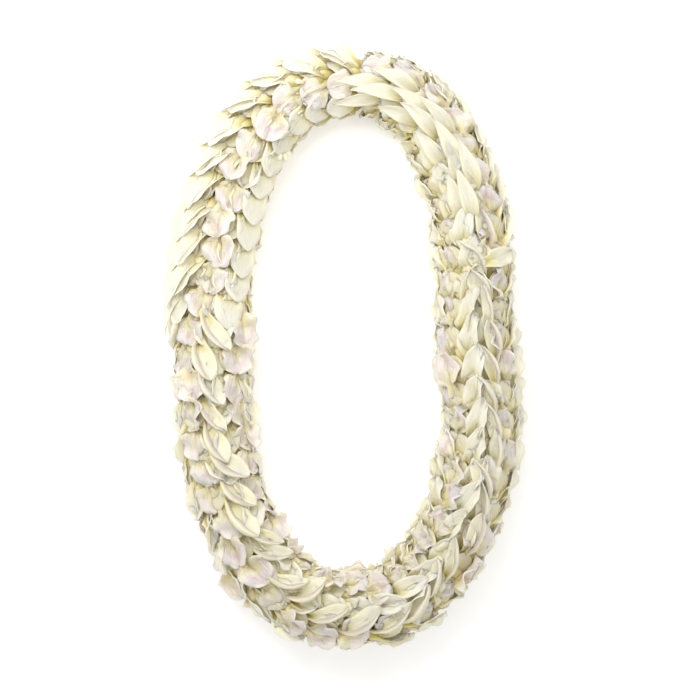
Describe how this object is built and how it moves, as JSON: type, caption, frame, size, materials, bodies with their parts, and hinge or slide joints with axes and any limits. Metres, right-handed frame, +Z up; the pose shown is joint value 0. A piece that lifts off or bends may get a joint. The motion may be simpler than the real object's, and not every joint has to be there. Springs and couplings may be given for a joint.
{
  "type": "fresh flower lei",
  "caption": "Closed loop of overlapping orchid blossoms threaded on a knotted string, lying flat, worn round the neck.",
  "frame": {"origin": "on the table under the middle of the loop", "axes": "+Z up from the table, +Y along the loop's long side towards the knot; the blossoms point anticlockwise seen from above"},
  "size_m": [0.2681, 0.4628, 0.0595],
  "materials": {
    "petals": "soft waxy white petals, ivory at the base, pale lavender on the lips",
    "string": "twisted white cotton string"
  },
  "bodies": {
    "root": {"string": "string", "blossoms_01": "petals", "blossoms_02": "petals", "blossoms_03": "petals", "blossoms_04": "petals", "blossoms_05": "petals", "blossoms_06": "petals", "blossoms_07": "petals", "blossoms_08": "petals", "blossoms_09": "petals", "blossoms_10": "petals", "blossoms_11": "petals", "blossoms_12": "petals", "blossoms_13": "petals", "blossoms_14": "petals", "blossoms_15": "petals", "blossoms_16": "petals", "blossoms_17": "petals", "blossoms_18": "petals", "blossoms_19": "petals", "blossoms_20": "petals", "blossoms_21": "petals", "blossoms_22": "petals", "blossoms_23": "petals", "blossoms_24": "petals", "blossoms_25": "petals", "blossoms_26": "petals", "blossoms_27": "petals", "blossoms_28": "petals", "blossoms_29": "petals", "blossoms_30": "petals", "blossoms_31": "petals", "blossoms_32": "petals", "blossoms_33": "petals", "blossoms_34": "petals", "blossoms_35": "petals", "blossoms_36": "petals", "blossoms_37": "petals", "blossoms_38": "petals", "blossoms_39": "petals", "blossoms_40": "petals", "blossoms_41": "petals", "blossoms_42": "petals", "blossoms_43": "petals", "blossoms_44": "petals", "blossoms_45": "petals", "blossoms_46": "petals", "blossoms_47": "petals", "blossoms_48": "petals"}
  },
  "joints": []
}
